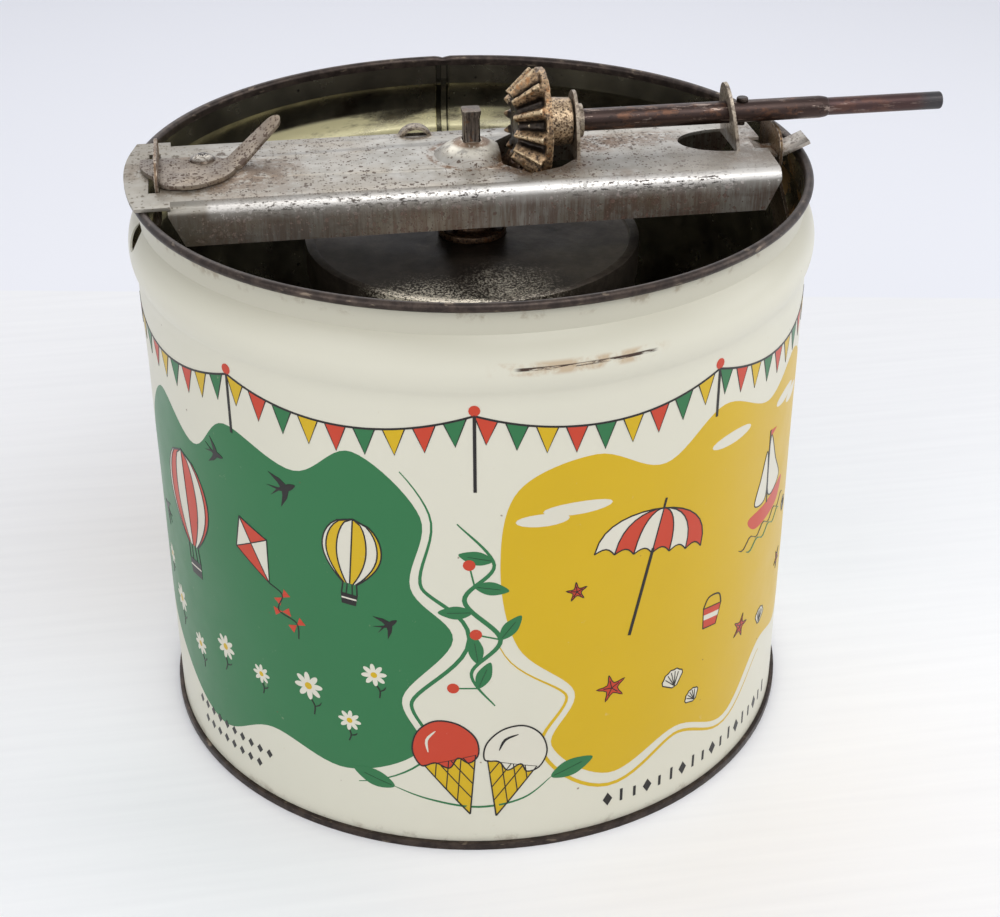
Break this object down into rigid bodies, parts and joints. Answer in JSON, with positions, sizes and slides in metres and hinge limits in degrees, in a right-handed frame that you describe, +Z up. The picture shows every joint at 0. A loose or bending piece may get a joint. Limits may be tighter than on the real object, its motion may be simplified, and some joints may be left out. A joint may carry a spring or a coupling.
{
  "type": "hand crank ice cream freezer",
  "caption": "Tinplate ice cream freezer: a crank shaft and bevel gears on a channel frame turn a lidded can in an ice tub round a fixed dasher; a swing latch holds the frame.",
  "frame": {"origin": "centre of the tub's foot, on the surface that the tub stands on", "axes": "+Z up along the can's axis, +X along the frame to the crank end, +Y across the frame away from the rim side that faces the viewer"},
  "size_m": [0.2985, 0.2474, 0.2489],
  "materials": {
    "printed_tinplate": "semi-gloss lithographed tinplate, worn",
    "dark_tinned_steel": "dull, darkened with age",
    "galvanised_sheet": "dull zinc with brown rust specks",
    "rivet_steel": "dull, rust stained",
    "shaft_steel": "brown steel",
    "cast_iron": "as cast, rusty",
    "can_tinplate": "dull tin",
    "dasher_iron": "tinned iron",
    "hardwood": "bare"
  },
  "bodies": {
    "root": {"tub_shell": "printed_tinplate", "rim_wire": "galvanised_sheet", "tub_bottom": "dark_tinned_steel", "can_pivot": "cast_iron", "latch_ear": "galvanised_sheet", "hook_ear": "galvanised_sheet", "frame_channel": "galvanised_sheet", "latch_rivet": "rivet_steel", "dasher_stem": "dasher_iron", "lower_arm": "dasher_iron", "upper_arm": "dasher_iron", "scraper_left": "hardwood", "scraper_right": "hardwood", "scraper_pins": "rivet_steel", "beater_left": "dasher_iron", "beater_right": "dasher_iron"},
    "can": {"drive_gear": "cast_iron", "lid": "can_tinplate", "lid_rivets": "rivet_steel", "can_shell": "can_tinplate", "can_bottom": "can_tinplate", "can_socket": "cast_iron"},
    "crank": {"crank_shaft": "shaft_steel", "retaining_pin": "shaft_steel", "pinion": "cast_iron"},
    "latch": {"latch_lever": "galvanised_sheet"}
  },
  "joints": [
    {"name": "can_spin", "type": "hinge", "parent": "root", "child": "can", "pos_m": [0, 0, 0.015], "axis": [0, 0, 1], "continuous": true},
    {"name": "crank_spin", "type": "hinge", "parent": "root", "child": "crank", "pos_m": [0.095, 0, 0.2287], "axis": [1, 0, 0], "continuous": true},
    {"name": "latch_swing", "type": "hinge", "parent": "root", "child": "latch", "pos_m": [-0.0953, 0.0055, 0.2192], "axis": [0, 0, 1], "range_deg": [0, 75]}
  ],
  "couplings": [
    {"joint": "crank_spin", "follows": "can_spin", "ratio": 1.3333}
  ]
}
